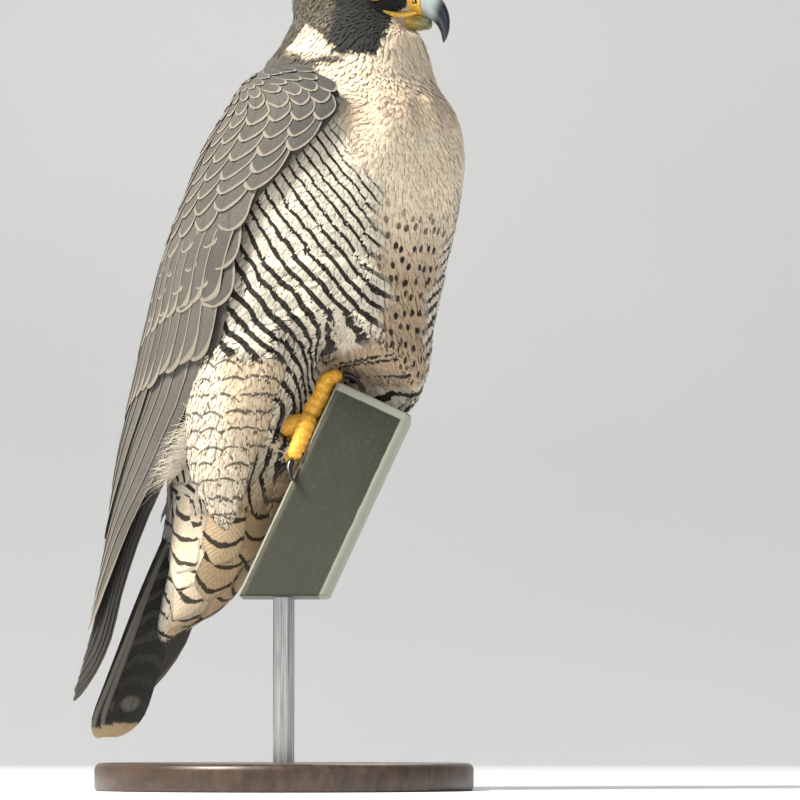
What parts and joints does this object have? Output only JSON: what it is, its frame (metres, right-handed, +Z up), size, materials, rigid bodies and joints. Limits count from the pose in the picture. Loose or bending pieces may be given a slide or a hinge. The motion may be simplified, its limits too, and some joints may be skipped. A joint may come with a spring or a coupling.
{
  "type": "peregrine falcon museum model",
  "caption": "Life-size still model of a perched adult peregrine falcon, gripping a cut length of steel box section on a plain stand.",
  "frame": {"origin": "centre of the flat underside of the stand's base", "axes": "+X the way the bird faces, +Y to the bird's left, +Z up"},
  "size_m": [0.2307, 0.192, 0.428],
  "materials": {
    "hood": "short dark feathers of the hood and moustache with a cream patch on the neck",
    "neck_feathers": "soft cream feathers, dark on the nape",
    "body_feathers": "soft cream feathers barred and spotted with near black",
    "thigh_feathers": "loose cream feathers with fine dark chevrons",
    "wing_feathers": "warm grey feathers with pale fringes, black at the tips",
    "tail_feathers": "dark barred feathers with buff tips",
    "eye": "wet, very dark brown",
    "cere": "smooth waxy yellow skin",
    "bill": "polished horn, pale blue-grey to blue-black at the tip",
    "mandible": "polished horn, dull yellow to grey",
    "foot": "scaly yellow skin",
    "claw": "polished black horn",
    "steel": "weathered galvanised steel, dull grey with pale worn edges",
    "stand_base": "dark stained, satin",
    "stand_rod": "brushed"
  },
  "bodies": {
    "root": {"head": "hood", "eye_left": "eye", "eye_right": "eye", "cere": "cere", "bill_upper": "bill", "bill_lower": "mandible", "neck": "neck_feathers", "torso": "body_feathers", "thigh_left": "thigh_feathers", "thigh_right": "thigh_feathers", "wing_left": "wing_feathers", "wing_right": "wing_feathers", "tail": "tail_feathers", "foot_left": "foot", "foot_right": "foot", "claw_left_1": "claw", "claw_left_2": "claw", "claw_left_3": "claw", "claw_left_4": "claw", "claw_right_1": "claw", "claw_right_2": "claw", "claw_right_3": "claw", "claw_right_4": "claw", "perch": "steel", "stand_base": "stand_base", "stand_rod_near": "stand_rod", "stand_rod_far": "stand_rod"}
  },
  "joints": []
}
